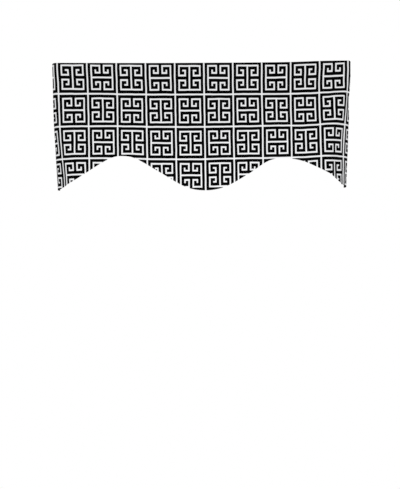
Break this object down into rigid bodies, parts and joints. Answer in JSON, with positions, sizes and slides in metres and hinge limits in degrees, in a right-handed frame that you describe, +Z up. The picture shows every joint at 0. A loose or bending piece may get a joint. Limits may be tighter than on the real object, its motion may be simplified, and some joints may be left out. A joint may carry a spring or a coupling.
{
  "type": "cornice valance",
  "caption": "Flat cotton cornice valance with returns to the wall and a double-arched hem, in a black and white key fret print, hung by its turned-back top hem.",
  "frame": {"origin": "middle of the top edge of the front, on the crown of its fold", "axes": "+X runs along the window to the viewer's right, +Y runs back to the wall, so the printed front faces -Y, and +Z is up"},
  "size_m": [1.0162, 0.1341, 0.4377],
  "materials": {
    "printed_cotton": "matte printed cotton, plain weave"
  },
  "bodies": {
    "root": {"valance_cloth": "printed_cotton"}
  },
  "joints": []
}
